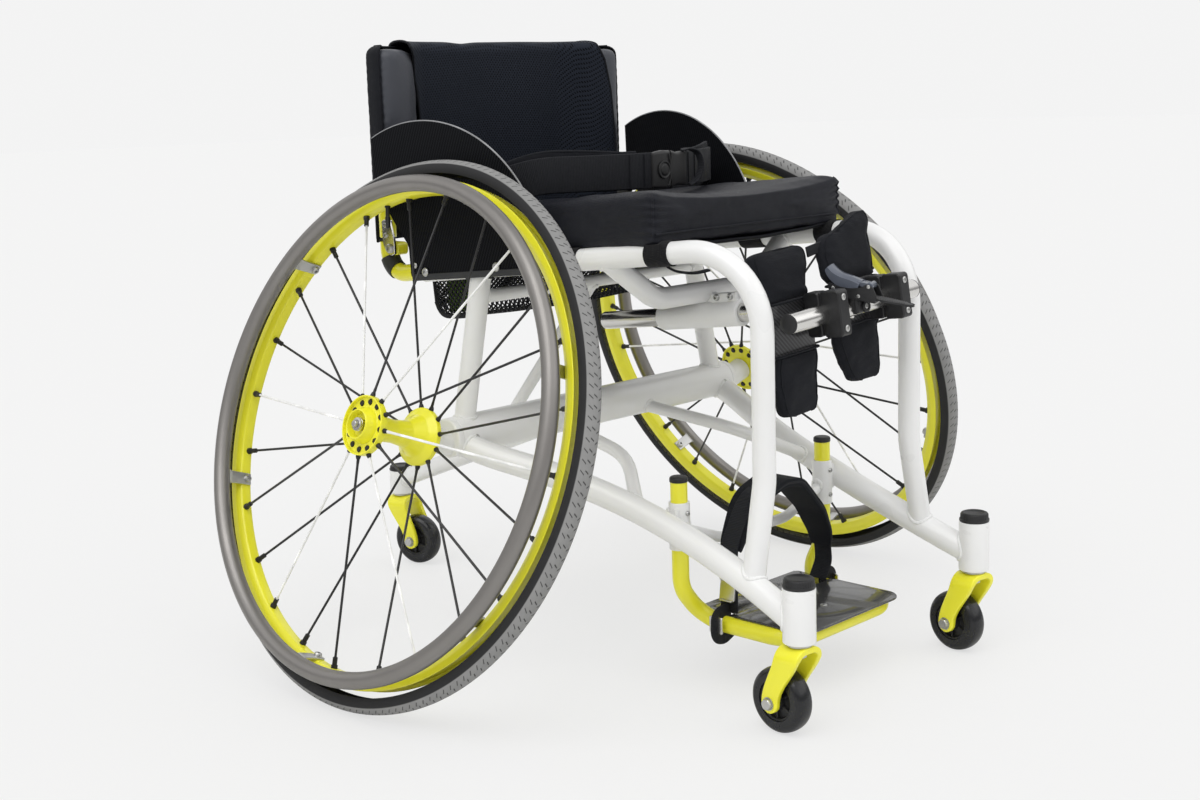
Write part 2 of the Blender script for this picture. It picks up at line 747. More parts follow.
def caster_wheel_mesh():
    """A small wheel with a crowned tread and a dished hub."""
    dish = CASTER_HALF_WIDTH - CASTER_DISH
    half = [
        (CASTER_HALF_WIDTH + CASTER_HUB_PROUD, CASTER_AXLE_RADIUS + GAP),
        (CASTER_HALF_WIDTH + CASTER_HUB_PROUD, CASTER_HUB_RADIUS),
        (dish, CASTER_HUB_RADIUS + CASTER_HUB_PROUD),
        (dish, CASTER_TREAD_ROOT - CASTER_DISH / 2),
        (CASTER_HALF_WIDTH, CASTER_TREAD_ROOT),
        (CASTER_HALF_WIDTH, CASTER_RADIUS - CASTER_SHOULDER),
        (CASTER_HALF_WIDTH - CASTER_SHOULDER, CASTER_RADIUS),
    ]
    profile = half + [(-x, r) for x, r in reversed(half)]
    return turned("caster_wheel", profile, 20, bored=True, outside=True)


def head_profile(height):
    """The head tube from its open foot to the cap on top, with a blind bore for the stem."""
    bore = STEM_RADIUS + GAP
    top = HEAD_BOTTOM + height
    return [
        (top - HEAD_CROWN, bore),
        (HEAD_BOTTOM, bore),
        (HEAD_BOTTOM, HEAD_RADIUS),
        (top, HEAD_RADIUS),
        (top, CAP_RADIUS),
        (top + CAP_HEIGHT - CAP_EDGE, CAP_RADIUS),
        (top + CAP_HEIGHT, CAP_RADIUS - CAP_EDGE),
    ]


def casters():
    wheel_mesh = caster_wheel_mesh()
    places = {
        "right_caster": (-CASTER_X, CASTER_Y, RIGHT_CASTER_YAW, STEM_TOP_FRONT),
        "left_caster": (CASTER_X, CASTER_Y, LEFT_CASTER_YAW, STEM_TOP_FRONT),
        "rear_caster": (0.0, REAR_CASTER_Y, REAR_CASTER_YAW, STEM_TOP_REAR),
    }
    for name, (x, y, yaw, stem_top) in places.items():
        swivel = empty(f"{name}_swivel", chair, Matrix.Translation((x, y, 0)) @ Matrix.Rotation(yaw, 4, "Z"))
        fork(name, swivel, stem_top)
        wheel = piece(f"{name}_wheel", wheel_mesh, URETHANE, swivel)
        wheel.location = (0, CASTER_TRAIL, CASTER_RADIUS)


casters()
HEAD_CENTRE_Z = HEAD_BOTTOM + HEAD_HEIGHT / 2
RAIL_LINE = [
    (0.2343, -0.0110, CAMBER_TUBE_Z - 0.0097),
    (-0.0122, -0.0733, -0.0255),
    (0.0424, -0.2766, -0.1131),
    (CASTER_X - 0.0008, CASTER_Y + 0.0040, HEAD_CENTRE_Z - 0.0121),
]
for side_name, side in SIDES.items():
    head = turned("caster_head", head_profile(HEAD_HEIGHT), 20, axis="Z")
    made = piece(f"{side_name}_caster_head", head, WHITE, chair)
    made.location = (side * CASTER_X, CASTER_Y, 0)


# Lower rails: one long S from the camber tube down to each caster head.
def rail_point(side, at):
    """A point of the rail's middle line, from 0 at the camber tube to 1 at the caster head."""
    start, leave, arrive, end = (Vector((side * x, y, z)) for x, y, z in RAIL_LINE)
    return bezier([start, start + leave, end - arrive, end], at)


def rail_path(side):
    return [rail_point(side, k / RAIL_SPANS) for k in range(RAIL_SPANS + 1)]


def lower_rail(side_name, side):
    section = circle(LOWER_RAIL_RADIUS, TUBE_SIDES)
    rail = piece(f"{side_name}_lower_rail", swept("lower_rail", rail_path(side), section), WHITE, chair)
    radius = HEAD_RADIUS + GAP
    profile = [(HEAD_BOTTOM - CUT_REACH, radius), (HEAD_BOTTOM + HEAD_HEIGHT + CUT_REACH, radius)]
    cope = turned("head_cope", profile, 20, axis="Z", outside=True)
    head_cope = tool(f"{side_name}_head_cope", cope, chair)
    head_cope.location = (side * CASTER_X, CASTER_Y, 0)
    cut(rail, camber_cope, head_cope)


def rail_cope(side_name, side):
    section = circle(LOWER_RAIL_RADIUS + GAP, TUBE_SIDES)
    return tool(f"{side_name}_rail_cope", swept("rail_cope", rail_path(side), section), chair)


# Side tubes: up from the lower rail, round the front corner and back along the seat.
def seat_point(side, y):
    """The middle of the seat tube at a distance behind the axle."""
    back = y - SEAT_FRONT_Y
    return Vector((side * (SEAT_FRONT_X + SEAT_TAPER * back), y, SEAT_FRONT_Z - SEAT_SLOPE * back))


def side_tube_path(side):
    foot = rail_point(side, UPRIGHT_AT)
    splay = Vector((side * SEAT_FRONT_X, SEAT_FRONT_Y, UPRIGHT_SPLAY_Z))
    ends = [seat_point(side, SEAT_FRONT_Y), seat_point(side, SEAT_REAR_Y)]
    return rounded([foot, splay, *ends], [SPLAY_BEND, CORNER_BEND])


copes = {}
for side_name, side in SIDES.items():
    lower_rail(side_name, side)
    copes[side_name, "rail"] = rail_cope(side_name, side)
    path = side_tube_path(side)
    mesh = swept("side_tube", path, circle(SIDE_TUBE_RADIUS, TUBE_SIDES))
    tube = piece(f"{side_name}_side_tube", mesh, WHITE, chair)
    mesh = swept("seat_cope", path, circle(SIDE_TUBE_RADIUS + GAP, TUBE_SIDES))
    copes[side_name, "seat"] = tool(f"{side_name}_seat_cope", mesh, chair)
    socket_ends = [seat_point(side, POST_SOCKET_Y), seat_point(side, SEAT_REAR_Y + CUT_REACH)]
    socket = rod("post_socket", *socket_ends, POST_RADIUS + GAP, 12, True)
    cut(tube, copes[side_name, "rail"], tool(f"{side_name}_post_socket", socket, chair))

# Rear struts from the camber tube to the seat tubes, and the cross tube between them.
strut_line = {}
for side_name, side in SIDES.items():
    foot = Vector((side * STRUT_FOOT_X, 0, CAMBER_TUBE_Z + CAMBER_TUBE_RADIUS * 0.5))
    top = seat_point(side, 0.0)
    strut_line[side_name] = (foot, top)
    strut = piece(f"{side_name}_strut", rod("strut", foot, top, STRUT_RADIUS, TUBE_SIDES), WHITE, chair)
    cut(strut, camber_cope, copes[side_name, "seat"])
    reach = (top - foot).normalized() * CUT_REACH
    mesh = rod("strut_cope", foot - reach, top + reach, STRUT_RADIUS + GAP, TUBE_SIDES)
    copes[side_name, "strut"] = tool(f"{side_name}_strut_cope", mesh, chair)

rear_cross_z = seat_point(1, 0.0).z - REAR_CROSS_DROP
foot, top = strut_line["left"]
rear_cross_x = foot.x + (top.x - foot.x) * (rear_cross_z - foot.z) / (top.z - foot.z)
cross_ends = [(-rear_cross_x, 0, rear_cross_z), (rear_cross_x, 0, rear_cross_z)]
rear_cross_mesh = rod("rear_cross_tube", *cross_ends, REAR_CROSS_RADIUS, TUBE_SIDES)
rear_cross = piece("rear_cross_tube", rear_cross_mesh, WHITE, chair)
cut(rear_cross, copes["right", "strut"], copes["left", "strut"])
cope_mesh = rod("rear_cross_cope", *cross_ends, REAR_CROSS_RADIUS + GAP, TUBE_SIDES)
rear_cross_cope = tool("rear_cross_cope", cope_mesh, chair)

# Braces from the camber tube out to the lower rails.
for side_name, side in SIDES.items():
    points = [
        (side * BRACE_ROOT_X, 0.0, CAMBER_TUBE_Z - BRACE_RADIUS),
        (side * 0.1000, -0.1470, CAMBER_TUBE_Z - 0.0300),
        rail_point(side, BRACE_AT),
    ]
    path = rounded(points, [BRACE_BEND])
    brace = piece(f"{side_name}_brace", swept("brace", path, circle(BRACE_RADIUS, 10)), WHITE, chair)
    cut(brace, camber_cope, copes[side_name, "rail"])

# The anti-tip arm with the rear caster's head, and the stay that braces it.
arm_start = Vector((0, 0, CAMBER_TUBE_Z - 0.001))
arm_end = Vector((0, REAR_CASTER_Y, HEAD_BOTTOM + REAR_HEAD_HEIGHT / 2 + 0.002))


def arm_point(y):
    return arm_start.lerp(arm_end, y / REAR_CASTER_Y)


arm = piece("anti_tip_arm", rod("anti_tip_arm", arm_start, arm_end, ARM_RADIUS, TUBE_SIDES), WHITE, chair)
cut(arm, camber_cope)
top = HEAD_BOTTOM + REAR_HEAD_HEIGHT
rear_head_profile = [
    (HEAD_BOTTOM, HEAD_RADIUS),
    (top, HEAD_RADIUS),
    (top, CAP_RADIUS),
    (top + REAR_CAP_HEIGHT, CAP_RADIUS),
]
rear_head = tool("rear_head", turned("rear_head", rear_head_profile, 20, axis="Z"), chair)
rear_head.location = (0, REAR_CASTER_Y, 0)
bore_radius = STEM_RADIUS + GAP
rear_bore_profile = [(HEAD_BOTTOM - CUT_REACH, bore_radius), (top - HEAD_CROWN, bore_radius)]
rear_bore = tool("rear_bore", turned("rear_bore", rear_bore_profile, 12, axis="Z", outside=True), chair)
rear_bore.location = (0, REAR_CASTER_Y, 0)
join(arm, rear_head)
cut(arm, rear_bore)
arm_cope = tool("arm_cope", rod("arm_cope", arm_start, arm_end, ARM_RADIUS + GAP, TUBE_SIDES), chair)
stay_mesh = rod("anti_tip_stay", (0, 0, rear_cross_z), arm_point(STAY_FOOT_Y), STAY_RADIUS, TUBE_SIDES)
stay = piece("anti_tip_stay", stay_mesh, WHITE, chair)
cut(stay, rear_cross_cope, arm_cope)

# The dip tube between the seat tubes, with the clamp sleeve of the shin support welded under it.
sleeve_axis_z = DIP_Z - DIP_TUBE_RADIUS - SLEEVE_RADIUS + WELD_BITE
stem_run = STEM_REACH * math.cos(STEM_TILT)
stem_rise = STEM_REACH * math.sin(STEM_TILT)
knee_origin = Vector((0, DIP_Y - stem_run, sleeve_axis_z + stem_rise))
knee_turn = Matrix.Rotation(-STEM_TILT, 4, "X") @ Matrix.Rotation(-BAR_ROLL, 4, "Y")
knee_frame = Matrix.Translation(knee_origin) @ knee_turn


def knee_point(x, y, z):
    return knee_frame @ Vector((x, y, z))


def dip_path():
    ends = [seat_point(side, DIP_Y + 0.008) for side in (-1, 1)]
    flats = [Vector((side * DIP_HALF_FLAT, DIP_Y, DIP_Z)) for side in (-1, 1)]
    return rounded([ends[0], flats[0], flats[1], ends[1]], [DIP_BEND, DIP_BEND])


mount = piece("knee_mount", swept("dip_tube", dip_path(), circle(DIP_TUBE_RADIUS, TUBE_SIDES)), WHITE, chair)
sleeve_front = STEM_REACH - SLEEVE_AHEAD
sleeve_rear = STEM_REACH + SLEEVE_BEHIND
sleeve_ends = [knee_point(0, sleeve_front, 0), knee_point(0, sleeve_rear, 0)]
bore_ends = [knee_point(0, sleeve_front - CUT_REACH, 0), knee_point(0, sleeve_rear + CUT_REACH, 0)]
sleeve = tool("sleeve", rod("sleeve", *sleeve_ends, SLEEVE_RADIUS, 16), chair)
sleeve_underside = sleeve_axis_z - SLEEVE_RADIUS
ear_low = (-EAR_HALF_WIDTH, DIP_Y + EAR_START, sleeve_underside - EAR_DROP)
ear_high = (EAR_HALF_WIDTH, DIP_Y + EAR_START + EAR_LENGTH, sleeve_underside + EAR_BITE)
ears = tool("clamp_ears", block("clamp_ears", ear_low, ear_high), chair)
sleeve_bore_mesh = rod("sleeve_bore", *bore_ends, STEM_TUBE_RADIUS + GAP, TUBE_SIDES, outside=True)
sleeve_bore = tool("sleeve_bore", sleeve_bore_mesh, chair)
join(mount, sleeve, ears)
cut(mount, sleeve_bore, copes["right", "seat"], copes["left", "seat"])

# The footrest mount: two receivers on the lower rails and the cross tube between them.
receiver_rail = rail_point(1, RECEIVER_AT)
RECEIVER_X = receiver_rail.x - LOWER_RAIL_RADIUS - RECEIVER_RADIUS + WELD_BITE
RECEIVER_Y = receiver_rail.y
RECEIVER_TOP = receiver_rail.z + RECEIVER_ABOVE
RECEIVER_BOTTOM = receiver_rail.z - RECEIVER_BELOW
cross_z = (RECEIVER_TOP + RECEIVER_BOTTOM) / 2 - CROSS_BELOW_MIDDLE
cross_points = [
    (-RECEIVER_X, RECEIVER_Y, cross_z),
    (-CROSS_HALF_FLAT, RECEIVER_Y, cross_z - CROSS_SAG),
    (CROSS_HALF_FLAT, RECEIVER_Y, cross_z - CROSS_SAG),
    (RECEIVER_X, RECEIVER_Y, cross_z),
]
cross_path = rounded(cross_points, [CROSS_BEND, CROSS_BEND])
cross_mesh = swept("front_cross_tube", cross_path, circle(FRONT_CROSS_RADIUS, 10))
foot_mount = piece("footrest_mount", cross_mesh, WHITE, chair)
for side_name, side in SIDES.items():
    low = (side * RECEIVER_X, RECEIVER_Y, RECEIVER_BOTTOM)
    high = (side * RECEIVER_X, RECEIVER_Y, RECEIVER_TOP)
    join(foot_mount, tool(f"{side_name}_receiver", rod("receiver", low, high, RECEIVER_RADIUS, 16), chair))
for side_name, side in SIDES.items():
    low = (side * RECEIVER_X, RECEIVER_Y, RECEIVER_BOTTOM - CUT_REACH)
    high = (side * RECEIVER_X, RECEIVER_Y, RECEIVER_TOP + CUT_REACH)
    bore = rod("receiver_bore", low, high, FOOT_TUBE_RADIUS + GAP, 12, outside=True)
    cut(foot_mount, tool(f"{side_name}_receiver_bore", bore, chair), copes[side_name, "rail"])

# The footrest: one bent tube that slides in the receivers, its plate and its instep strap.
footrest = empty("footrest_slide", chair, Matrix.Translation((0, RECEIVER_Y, RECEIVER_TOP)))
TUBE_TOP = FOOT_TUBE_ABOVE
TUBE_FLOOR = FOOT_TUBE_Z - RECEIVER_TOP
foot_half = [
    (RECEIVER_X, 0, TUBE_TOP),
    (RECEIVER_X, 0, FOOT_SPLAY_Z - RECEIVER_TOP),
    (FOOT_HALF_WIDTH, 0, TUBE_FLOOR),
    (FOOT_HALF_WIDTH, FOOT_FRONT_Y - RECEIVER_Y, TUBE_FLOOR),
]
foot_points = [(-x, y, z) for x, y, z in foot_half] + list(reversed(foot_half))
foot_radii = [FOOT_TOP_BEND, FOOT_BEND, FOOT_BEND, FOOT_BEND, FOOT_BEND, FOOT_TOP_BEND]
foot_line = rounded(foot_points, foot_radii, FOOT_BEND_STEP)
foot_tube_mesh = swept("foot_tube", foot_line, circle(FOOT_TUBE_RADIUS, TUBE_SIDES))
foot_tube = piece("foot_tube", foot_tube_mesh, YELLOW, footrest)
for side_name, side in SIDES.items():
    low = (side * RECEIVER_X, 0, TUBE_TOP - FOOT_CAP_HEIGHT)
    high = (side * RECEIVER_X, 0, TUBE_TOP + FOOT_CAP_HEIGHT)
    cap = rod("foot_cap", low, high, FOOT_TUBE_RADIUS + 2 * GAP, 12)
    join(foot_tube, tool(f"{side_name}_foot_cap", cap, footrest))

PLATE_BOTTOM = TUBE_FLOOR + FOOT_TUBE_RADIUS + GAP
PLATE_TOP = PLATE_BOTTOM + PLATE_THICKNESS


def footplate_outline():
    """Square at the heel, round at both toe corners, with a notch for the strap in each side."""
    front = PLATE_FRONT_Y - RECEIVER_Y
    rear = PLATE_REAR_Y - RECEIVER_Y
    half = FOOT_HALF_WIDTH
    notch_x = half - PLATE_NOTCH
    strap = FOOT_STRAP_Y - RECEIVER_Y
    notch = FOOT_STRAP_WIDTH / 2 + 3 * GAP
    turns = [math.radians(turn) for turn in range(0, 91, 18)]
    corner = PLATE_CORNER
    toe = [(half - corner * (1 - math.cos(t)), front + corner * (1 - math.sin(t))) for t in turns]
    strap_sides = (strap + notch, strap - notch)
    notched = [(half, strap_sides[0]), (notch_x, strap_sides[0]), (notch_x, strap_sides[1]), (half, strap_sides[1])]
    points = [(half, rear)] + notched + toe
    return points + [(-x, y) for x, y in reversed(points)]


plate = outline_plate("footplate", footplate_outline(), PLATE_BOTTOM, PLATE_TOP)
plate_piece = piece("footplate", plate, CARBON, footrest)
foot_cope_mesh = swept("foot_cope", foot_line, circle(FOOT_TUBE_RADIUS + GAP, TUBE_SIDES))
foot_cope = tool("foot_cope", foot_cope_mesh, footrest)
cut(plate_piece, foot_cope)


def strap_section(width, thickness):
    half = thickness / 2
    return [(-half, -width / 2), (half, -width / 2), (half, width / 2), (-half, width / 2)]


def foot_strap_path():
    y = FOOT_STRAP_Y - RECEIVER_Y
    low = PLATE_TOP + GAP + FOOT_STRAP_THICKNESS / 3
    top = PLATE_TOP + FOOT_STRAP_HEIGHT
    points = [
        (-FOOT_HALF_WIDTH + 0.0085, y, low),
        (-0.0810, y, low + 0.040),
        (-0.0560, y, top - 0.006),
        (0.0440, y, top),
        (0.0900, y, low + 0.066),
        (FOOT_HALF_WIDTH - 0.0085 + 0.008, y, low + 0.020),
        (FOOT_HALF_WIDTH - 0.0135, y, low),
    ]
    return rounded(points, [0.05, 0.03, 0.03, 0.05, 0.02])


section = strap_section(FOOT_STRAP_WIDTH, FOOT_STRAP_THICKNESS)
strap_path = foot_strap_path()
piece("foot_strap", swept("foot_strap", strap_path, section, up=(0, 1, 0)), FABRIC, footrest)

# The cam lever that locks the instep strap, outside it at the right.
cam_at = Vector((CAM_X, FOOT_STRAP_Y - RECEIVER_Y, PLATE_TOP + CAM_HEIGHT))
cam_frame = Matrix.Translation(cam_at) @ Matrix.Rotation(CAM_LEAN, 4, "Y")
cam = empty("cam_hinge", footrest, cam_frame)
cam_low = (-CAM_EYE_RADIUS / 2, -CAM_HALF_WIDTH, -CAM_LENGTH)
cam_high = (CAM_EYE_RADIUS / 4, CAM_HALF_WIDTH, CAM_EYE_RADIUS / 2)
cam_lever = piece("strap_cam", block("strap_cam", cam_low, cam_high), STEEL, cam)
cam_eye = rod("cam_eye", (0, -CAM_HALF_WIDTH, 0), (0, CAM_HALF_WIDTH, 0), CAM_EYE_RADIUS, 10)
join(cam_lever, tool("cam_eye", cam_eye, cam))

# The shin support slides in the sleeve on its stem.
knee = empty("knee_slide", chair, knee_frame)
bar = rod("knee_bar", (-BAR_RIGHT, 0, 0), (BAR_LEFT, 0, 0), STEM_TUBE_RADIUS, TUBE_SIDES)
bar_piece = piece("knee_bar", bar, STEEL, knee)
stem = rod("knee_stem", (0, STEM_TUBE_RADIUS / 4, 0), (0, STEM_LENGTH, 0), STEM_TUBE_RADIUS, TUBE_SIDES)
join(bar_piece, tool("knee_stem", stem, knee))
cope_ends = [(-BAR_RIGHT - CUT_REACH, 0, 0), (BAR_LEFT + CUT_REACH, 0, 0)]
bar_cope_mesh = rod("bar_cope", *cope_ends, STEM_TUBE_RADIUS + GAP, TUBE_SIDES, outside=True)
bar_cope = tool("bar_cope", bar_cope_mesh, knee)


def clamp_outline():
    """A clamp block seen along the bar."""
    tall = CLAMP_HEIGHT / 2
    return rounded_outline(-CLAMP_AHEAD, CLAMP_BEHIND, -tall, tall, CLAMP_CORNER)


def pad_rings(levels):
    """Levels are (height, lowest x, highest x). The pad leans back above and below the bar."""
    rings = []
    for z, x0, x1 in levels:
        y = PAD_SPACE + z * math.tan(PAD_LEAN_ABOVE if z > 0 else PAD_LEAN_BELOW)
        middle = (x0 + x1) / 2
        back = y + PAD_THICKNESS
        edge = back - PAD_BULGE
        front = [(x0, y, z), (middle, y, z), (x1, y, z)]
        rear = [(x1, edge, z), (middle, back, z), (x0, edge, z)]
        rings.append(front + rear)
    return rings


RIGHT_PAD_LEVELS = [
    (-0.107, -0.086, -0.045),
    (-0.099, -0.106, -0.036),
    (-0.060, -0.112, -0.031),
    (-0.034, -0.110, -0.032),
    (0.018, -0.108, -0.032),
    (0.028, -0.118, -0.030),
    (0.045, -0.118, -0.023),
    (0.062, -0.117, -0.016),
    (0.072, -0.106, -0.020),
]
LEFT_PAD_LEVELS = [
    (-0.0925, 0.040, 0.076),
    (-0.084, 0.020, 0.086),
    (-0.040, 0.000, 0.088),
    (-0.020, 0.0125, 0.090),
    (0.020, 0.0125, 0.094),
    (0.036, 0.002, 0.098),
    (0.072, 0.010, 0.108),
    (0.086, 0.045, 0.111),
    (0.0985, 0.088, 0.110),
]
pads = {"right": (RIGHT_CLAMP_X, RIGHT_PAD_LEVELS), "left": (LEFT_CLAMP_X, LEFT_PAD_LEVELS)}
for side_name, (clamp_x, levels) in pads.items():
    turn = empty(f"{side_name}_pad_hinge", knee, Matrix.Identity(4))
    low_x = clamp_x - CLAMP_WIDTH / 2
    high_x = clamp_x + CLAMP_WIDTH / 2
    mesh = loft("pad_clamp", [[(x, y, z) for y, z in clamp_outline()] for x in (low_x, high_x)])
    clamp = piece(f"{side_name}_pad_clamp", mesh, BLACK, turn)
    cut(clamp, bar_cope)
    pad = piece(f"{side_name}_shin_pad", loft("shin_pad", pad_rings(levels)), FABRIC, turn)
    room_z = CLAMP_HEIGHT / 2 + GAP
    room_low = (low_x - GAP, -CLAMP_AHEAD, -room_z)
    mesh = block("clamp_room", room_low, (high_x + GAP, CLAMP_BEHIND + GAP, room_z))
    pad_room = tool(f"{side_name}_clamp_room", mesh, turn)
    cut(pad, pad_room, bar_cope)

# The ratchet on the bar, its toothed ladder strap and its lever.
ladder_turn = Matrix.Rotation(LADDER_TURN, 4, "Z") @ Matrix.Rotation(LADDER_DROP, 4, "Y")
ladder_frame = Matrix.Translation((0, -LADDER_AHEAD, LADDER_RISE)) @ ladder_turn
ladder_slide = empty("ladder_slide", knee, ladder_frame)
half_width = LADDER_WIDTH / 2
half_thick = LADDER_THICKNESS / 2
ladder_end = LADDER_START + LADDER_LENGTH
ladder = block("ladder_strap", (LADDER_START, -half_width, -half_thick), (ladder_end, half_width, half_thick))
piece("ladder_strap", ladder, BLACK, ladder_slide)
ratchet = empty("ratchet", knee, ladder_frame)
wall = RATCHET_WALL
start = -RATCHET_LENGTH / 2
low = (start, -half_width - wall, -half_thick - wall)
high = (start + RATCHET_LENGTH, half_width + wall, half_thick + RATCHET_ROOF)
base = piece("ratchet_base", block("ratchet_base", low, high), BLACK, ratchet)
foot_low = (-RATCHET_FOOT_HALF, -RATCHET_FOOT_AHEAD, -RATCHET_FOOT_BELOW)
foot_high = (RATCHET_FOOT_HALF, RATCHET_FOOT_BEHIND, RATCHET_FOOT_ABOVE)
foot = tool("ratchet_foot", block("ratchet_foot", foot_low, foot_high), knee)
join(base, foot)
slot_low = (-RATCHET_LENGTH, -half_width - GAP, -half_thick - GAP)
slot_high = (RATCHET_LENGTH, half_width + GAP, half_thick + GAP)
cut(base, tool("ladder_slot", block("ladder_slot", slot_low, slot_high), ratchet), bar_cope)
lever_z = half_thick + RATCHET_ROOF + LEVER_ABOVE
lever = empty("lever_hinge", ratchet, Matrix.Translation((LEVER_X, 0, lever_z)))
lever_line = [(0.0, 0, 0), (-0.0200, 0, 0.0030), (-0.0350, 0, 0.0100)]
lever_section = strap_section(2 * LEVER_HALF_WIDTH, LEVER_THICKNESS)
lever_mesh = swept("ratchet_lever", lever_line, lever_section, up=(0, 1, 0))
lever_piece = piece("ratchet_lever", lever_mesh, GREY, lever)
eye = rod("lever_eye", (0, -LEVER_HALF_WIDTH, 0), (0, LEVER_HALF_WIDTH, 0), LEVER_EYE_RADIUS, 10)
join(lever_piece, tool("lever_eye", eye, lever))

# The seat: a sling between the seat tubes, and the cushion on it.
SEAT_TOP = SIDE_TUBE_RADIUS * math.sqrt(1 + SEAT_SLOPE**2)


def sling():
    rings = []
    for y in (SLING_FRONT_Y, SLING_REAR_Y):
        tube = seat_point(1, y)
        top = tube.z + SEAT_TOP - GAP
        half = tube.x - SLING_SHORT
        low = top - SLING_THICKNESS
        rings.append([(-half, y, low), (half, y, low), (half, y, top), (-half, y, top)])
    made = piece("seat_sling", loft("seat_sling", rings), FABRIC, chair)
    cut(made, copes["right", "seat"], copes["left", "seat"])


def cushion():
    """A flat cushion with its long edges rounded over."""
    c = CUSHION_CORNER
    w = CUSHION_HALF_WIDTH
    t = CUSHION_THICKNESS
    section = [(-w + c, 0), (w - c, 0), (w, c), (w, t - c), (w - c, t), (-w + c, t), (-w, t - c), (-w, c)]
    rings = []
    end_wide = (w - CUSHION_END_EASE) / w
    end_tall = (t - 2 * CUSHION_END_EASE) / t
    stations = [
        (CUSHION_FRONT_Y, end_wide, CUSHION_END_EASE, end_tall),
        (CUSHION_FRONT_Y + CUSHION_END_EASE, 1.0, 0.0, 1.0),
        (CUSHION_REAR_Y - CUSHION_END_EASE, 1.0, 0.0, 1.0),
        (CUSHION_REAR_Y, end_wide, CUSHION_END_EASE, end_tall),
    ]
    for y, wide, lift, tall in stations:
        base = seat_point(1, y).z + SEAT_TOP + GAP + lift
        rings.append([(x * wide, y, base + z * tall) for x, z in section])
    piece("cushion", loft("cushion", rings), FABRIC, chair)


sling()
cushion()


# Side guards: carbon plates that stand along the seat tubes on the outside.
def guard_x(y):
    return SEAT_FRONT_X + SEAT_TAPER * (y - SEAT_FRONT_Y) + SIDE_TUBE_RADIUS + GUARD_CLEAR


def guard_outline():
    start = Vector((-0.1170 - GUARD_ARC_Y, 0.4800 - GUARD_ARC_Z))
    end = Vector((0.1490 - GUARD_ARC_Y, 0.6320 - GUARD_ARC_Z))
    first = math.atan2(start.y, start.x)
    last = math.atan2(end.y, end.x)
    turns = [first + (last - first) * k / GUARD_SPANS for k in range(GUARD_SPANS + 1)]
    radius = GUARD_ARC_RADIUS
    arc = [(GUARD_ARC_Y + radius * math.cos(t), GUARD_ARC_Z + radius * math.sin(t)) for t in turns]
    rear = [(0.1475, 0.5750), (0.1165, 0.5280), (0.0964, 0.5030), (0.0945, 0.4630)]
    return arc + rear


for side_name, side in SIDES.items():
    rings = []
    for out in (0.0, GUARD_THICKNESS):
        rings.append([(side * (guard_x(y) + out), y, z) for y, z in guard_outline()])
    guard = piece(f"{side_name}_side_guard", loft("side_guard", rings), CARBON, chair)
    for index, y in enumerate(GUARD_BOLTS_Y):
        tube = seat_point(side, y)
        outer = Vector((side * (guard_x(y) + GUARD_THICKNESS + GUARD_BOLT_HEAD), y, tube.z))
        bolt = rod("guard_bolt", tube, outer, GUARD_BOLT_RADIUS, 10)
        join(guard, tool(f"{side_name}_guard_bolt_{index}", bolt, chair))
    cut(guard, copes[side_name, "seat"])

# The mesh bag under the seat.
BAG_STATIONS = [
    (BAG_FRONT_Y, BAG_DEPTH * 0.7),
    (BAG_FRONT_Y + 0.012, BAG_DEPTH),
    (BAG_REAR_Y - 0.014, BAG_DEPTH),
    (BAG_REAR_Y, BAG_DEPTH * 0.6),
]
bag_rings = []
for y, depth in BAG_STATIONS:
    top = seat_point(1, y).z + SEAT_TOP - SLING_THICKNESS - 2 * GAP
    low_half = BAG_HALF_WIDTH - BAG_DRAFT
    low = top - depth
    lower = [(-low_half, y, low), (low_half, y, low)]
    bag_rings.append([(-BAG_HALF_WIDTH, y, top), *lower, (BAG_HALF_WIDTH, y, top)])
piece("mesh_bag", loft("mesh_bag", bag_rings), FABRIC, chair)


# The lap belt: two halves that meet in a buckle over the cushion.
def belt_path(side):
    end = seat_point(side, BELT_END_Y)
    rest_z = end.z + SEAT_TOP + GAP + BELT_HEIGHT / 2
    top = seat_point(1, BUCKLE_Y).z + SEAT_TOP + CUSHION_THICKNESS + BELT_CLEAR + BELT_HEIGHT / 2
    points = [
        (side * 0.1950, BELT_END_Y, rest_z),
        (side * 0.1930, 0.0400, rest_z + 0.010),
        (side * 0.1830, -0.0280, top - 0.014),
        (side * 0.1550, -0.0680, top),
        (side * 0.0900, -0.1120, top),
        (side * BUCKLE_HALF, BUCKLE_Y, top),
    ]
    return rounded(points, [0.08, 0.08, 0.10, 0.20])


belt_section = strap_section(BELT_HEIGHT, BELT_THICKNESS)
buckle_middle = Vector((0, BUCKLE_Y, belt_path(1)[-1].z))
right_belt_slide = empty("right_belt_slide", chair)
right_mesh = swept("right_belt", belt_path(-1), belt_section, up=(0, 0, 1))
right_belt = piece("right_belt", right_mesh, FABRIC, right_belt_slide)
left_mesh = swept("left_belt", belt_path(1), belt_section, up=(0, 0, 1))
left_belt = piece("left_belt", left_mesh, FABRIC, chair)
half_y = BUCKLE_THICKNESS / 2
half_z = BELT_HEIGHT / 2 + BUCKLE_PROUD


def buckle_block(name, x0, x1, y_half, z_half, parent):
    low = buckle_middle + Vector((x0, -y_half, -z_half))
    high = buckle_middle + Vector((x1, y_half, z_half))
    return tool(name, block(name, low, high), parent)


